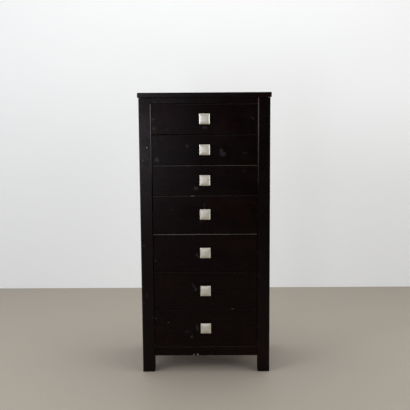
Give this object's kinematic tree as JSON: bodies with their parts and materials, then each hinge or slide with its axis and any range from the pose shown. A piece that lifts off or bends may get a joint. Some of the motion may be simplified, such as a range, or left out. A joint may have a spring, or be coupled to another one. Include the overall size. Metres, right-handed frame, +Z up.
{
  "type": "tallboy",
  "caption": "Tall narrow chest of drawers in dark stained wood on square post legs, with square brushed metal knobs.",
  "frame": {"origin": "on the floor, at the middle of the whole object's box in width and in depth, knobs included", "axes": "+X to the object's right as seen from the front, +Y towards its back, +Z up; the drawers open along -Y"},
  "size_m": [0.58, 0.428, 1.25],
  "materials": {
    "stained_wood": "dark espresso stain under satin lacquer",
    "drawer_wood": "pale bare wood",
    "drawer_ply": "pale bare plywood",
    "runner_wood": "bare hardwood",
    "back_board": "dark brown stained board",
    "brushed_nickel": "brushed satin nickel"
  },
  "bodies": {
    "carcass": {"top_panel": "stained_wood", "post_front_left": "stained_wood", "post_front_right": "stained_wood", "post_rear_left": "stained_wood", "post_rear_right": "stained_wood", "side_panel_left": "stained_wood", "side_panel_right": "stained_wood", "side_top_rail_left": "stained_wood", "side_top_rail_right": "stained_wood", "side_bottom_rail_left": "stained_wood", "side_bottom_rail_right": "stained_wood", "front_top_rail": "stained_wood", "front_bottom_rail": "stained_wood", "rear_top_rail": "stained_wood", "rear_bottom_rail": "stained_wood", "back_panel": "back_board", "runner_frame_left": "runner_wood", "runner_frame_right": "runner_wood"},
    "drawer_1": {"drawer_1_front": "stained_wood", "drawer_1_side_left": "drawer_wood", "drawer_1_side_right": "drawer_wood", "drawer_1_back": "drawer_wood", "drawer_1_bottom": "drawer_ply", "drawer_1_knob": "brushed_nickel"},
    "drawer_2": {"drawer_2_front": "stained_wood", "drawer_2_side_left": "drawer_wood", "drawer_2_side_right": "drawer_wood", "drawer_2_back": "drawer_wood", "drawer_2_bottom": "drawer_ply", "drawer_2_knob": "brushed_nickel"},
    "drawer_3": {"drawer_3_front": "stained_wood", "drawer_3_side_left": "drawer_wood", "drawer_3_side_right": "drawer_wood", "drawer_3_back": "drawer_wood", "drawer_3_bottom": "drawer_ply", "drawer_3_knob": "brushed_nickel"},
    "drawer_4": {"drawer_4_front": "stained_wood", "drawer_4_side_left": "drawer_wood", "drawer_4_side_right": "drawer_wood", "drawer_4_back": "drawer_wood", "drawer_4_bottom": "drawer_ply", "drawer_4_knob": "brushed_nickel"},
    "drawer_5": {"drawer_5_front": "stained_wood", "drawer_5_side_left": "drawer_wood", "drawer_5_side_right": "drawer_wood", "drawer_5_back": "drawer_wood", "drawer_5_bottom": "drawer_ply", "drawer_5_knob": "brushed_nickel"},
    "drawer_6": {"drawer_6_front": "stained_wood", "drawer_6_side_left": "drawer_wood", "drawer_6_side_right": "drawer_wood", "drawer_6_back": "drawer_wood", "drawer_6_bottom": "drawer_ply", "drawer_6_knob": "brushed_nickel"},
    "drawer_7": {"drawer_7_front": "stained_wood", "drawer_7_side_left": "drawer_wood", "drawer_7_side_right": "drawer_wood", "drawer_7_back": "drawer_wood", "drawer_7_bottom": "drawer_ply", "drawer_7_knob": "brushed_nickel"}
  },
  "joints": [
    {"name": "drawer_1_slide", "type": "slide", "parent": "carcass", "child": "drawer_1", "axis": [0, -1, 0], "range_m": [0, 0.26]},
    {"name": "drawer_2_slide", "type": "slide", "parent": "carcass", "child": "drawer_2", "axis": [0, -1, 0], "range_m": [0, 0.26]},
    {"name": "drawer_3_slide", "type": "slide", "parent": "carcass", "child": "drawer_3", "axis": [0, -1, 0], "range_m": [0, 0.26]},
    {"name": "drawer_4_slide", "type": "slide", "parent": "carcass", "child": "drawer_4", "axis": [0, -1, 0], "range_m": [0, 0.26]},
    {"name": "drawer_5_slide", "type": "slide", "parent": "carcass", "child": "drawer_5", "axis": [0, -1, 0], "range_m": [0, 0.26]},
    {"name": "drawer_6_slide", "type": "slide", "parent": "carcass", "child": "drawer_6", "axis": [0, -1, 0], "range_m": [0, 0.26]},
    {"name": "drawer_7_slide", "type": "slide", "parent": "carcass", "child": "drawer_7", "axis": [0, -1, 0], "range_m": [0, 0.26]}
  ]
}
